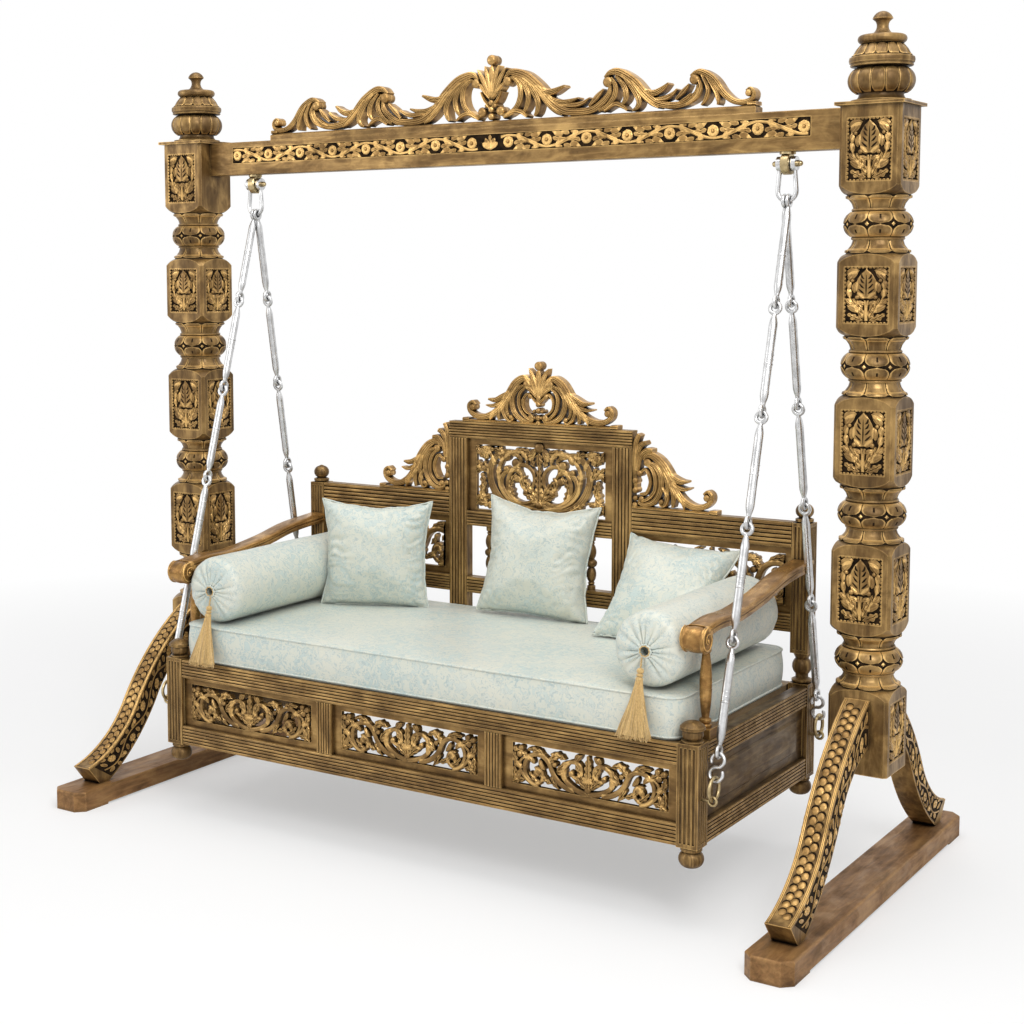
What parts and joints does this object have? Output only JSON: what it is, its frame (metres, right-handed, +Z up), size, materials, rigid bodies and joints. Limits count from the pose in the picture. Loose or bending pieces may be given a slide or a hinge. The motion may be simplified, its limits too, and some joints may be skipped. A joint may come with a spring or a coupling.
{
  "type": "jhoola swing seat",
  "caption": "Carved wooden porch swing: an upholstered bench hung by rod chains from a beam between two turned posts on braced feet.",
  "frame": {"origin": "on the floor under the middle of the swing", "axes": "+X along the beam, -Y towards the front of the seat, +Z up"},
  "size_m": [2.32, 1.244, 2.165],
  "materials": {
    "stand_wood": "antiqued, satin",
    "carved_gilt": "antiqued gold, satin",
    "seat_wood": "antiqued, satin",
    "gilt_arm": "bronze gold, semi-gloss",
    "plain_wood": "sawn, matt",
    "steel": "plain",
    "chain_steel": "polished",
    "brass": "aged, satin",
    "mattress_cover": "brocade",
    "cushion_cover": "brocade",
    "bolster_cover": "brocade",
    "tassel_thread": "rayon thread"
  },
  "bodies": {
    "stand": {"post_left": "stand_wood", "post_right": "stand_wood", "post_cap_plates": "stand_wood", "finials": "stand_wood", "foot_left": "stand_wood", "foot_right": "stand_wood", "brace_front_left": "stand_wood", "brace_front_right": "stand_wood", "brace_rear_left": "stand_wood", "brace_rear_right": "stand_wood", "stand_dowels": "plain_wood", "brace_screws": "steel", "cross_beam": "stand_wood", "beam_crest_strip": "stand_wood", "beam_crest": "carved_gilt", "hanger_eye_bolts": "brass", "hanger_nuts": "brass"},
    "swing": {"shackle_pins": "brass", "shackle_bows": "brass", "chain_front_left": "chain_steel", "chain_front_right": "chain_steel", "chain_rear_left": "chain_steel", "chain_rear_right": "chain_steel", "seat_rings": "brass", "ring_screw_eyes": "brass", "front_corner_posts": "seat_wood", "rear_corner_posts": "seat_wood", "front_top_rail": "seat_wood", "front_bottom_rail": "seat_wood", "front_muntins": "seat_wood", "front_carved_boards": "carved_gilt", "rear_rails": "seat_wood", "rear_board": "seat_wood", "side_rails": "seat_wood", "side_boards": "seat_wood", "back_side_rails": "seat_wood", "back_centre_rails": "seat_wood", "back_stiles": "seat_wood", "back_centre_board": "carved_gilt", "back_side_boards": "carved_gilt", "back_spindles": "seat_wood", "back_crest": "carved_gilt", "back_wings": "carved_gilt", "arm_left": "gilt_arm", "arm_right": "gilt_arm", "arm_balusters": "gilt_arm", "deck_ledgers": "plain_wood", "deck_slats": "plain_wood", "mattress": "mattress_cover", "bolster_left": "bolster_cover", "bolster_right": "bolster_cover", "cushion_left": "cushion_cover", "cushion_centre": "cushion_cover", "cushion_right": "cushion_cover"},
    "tassel_left": {"tassel_left": "tassel_thread"},
    "tassel_right": {"tassel_right": "tassel_thread"}
  },
  "joints": [
    {"name": "swing", "type": "hinge", "parent": "stand", "child": "swing", "pos_m": [0, 0, 1.816], "axis": [1, 0, 0], "range_deg": [-30, 30]},
    {"name": "tassel_left_hang", "type": "hinge", "parent": "swing", "child": "tassel_left", "pos_m": [-0.675, -0.4303, 0.64], "axis": [-1, 0, 0], "range_deg": [0, 35]},
    {"name": "tassel_right_hang", "type": "hinge", "parent": "swing", "child": "tassel_right", "pos_m": [0.675, -0.4303, 0.64], "axis": [-1, 0, 0], "range_deg": [0, 35]}
  ]
}
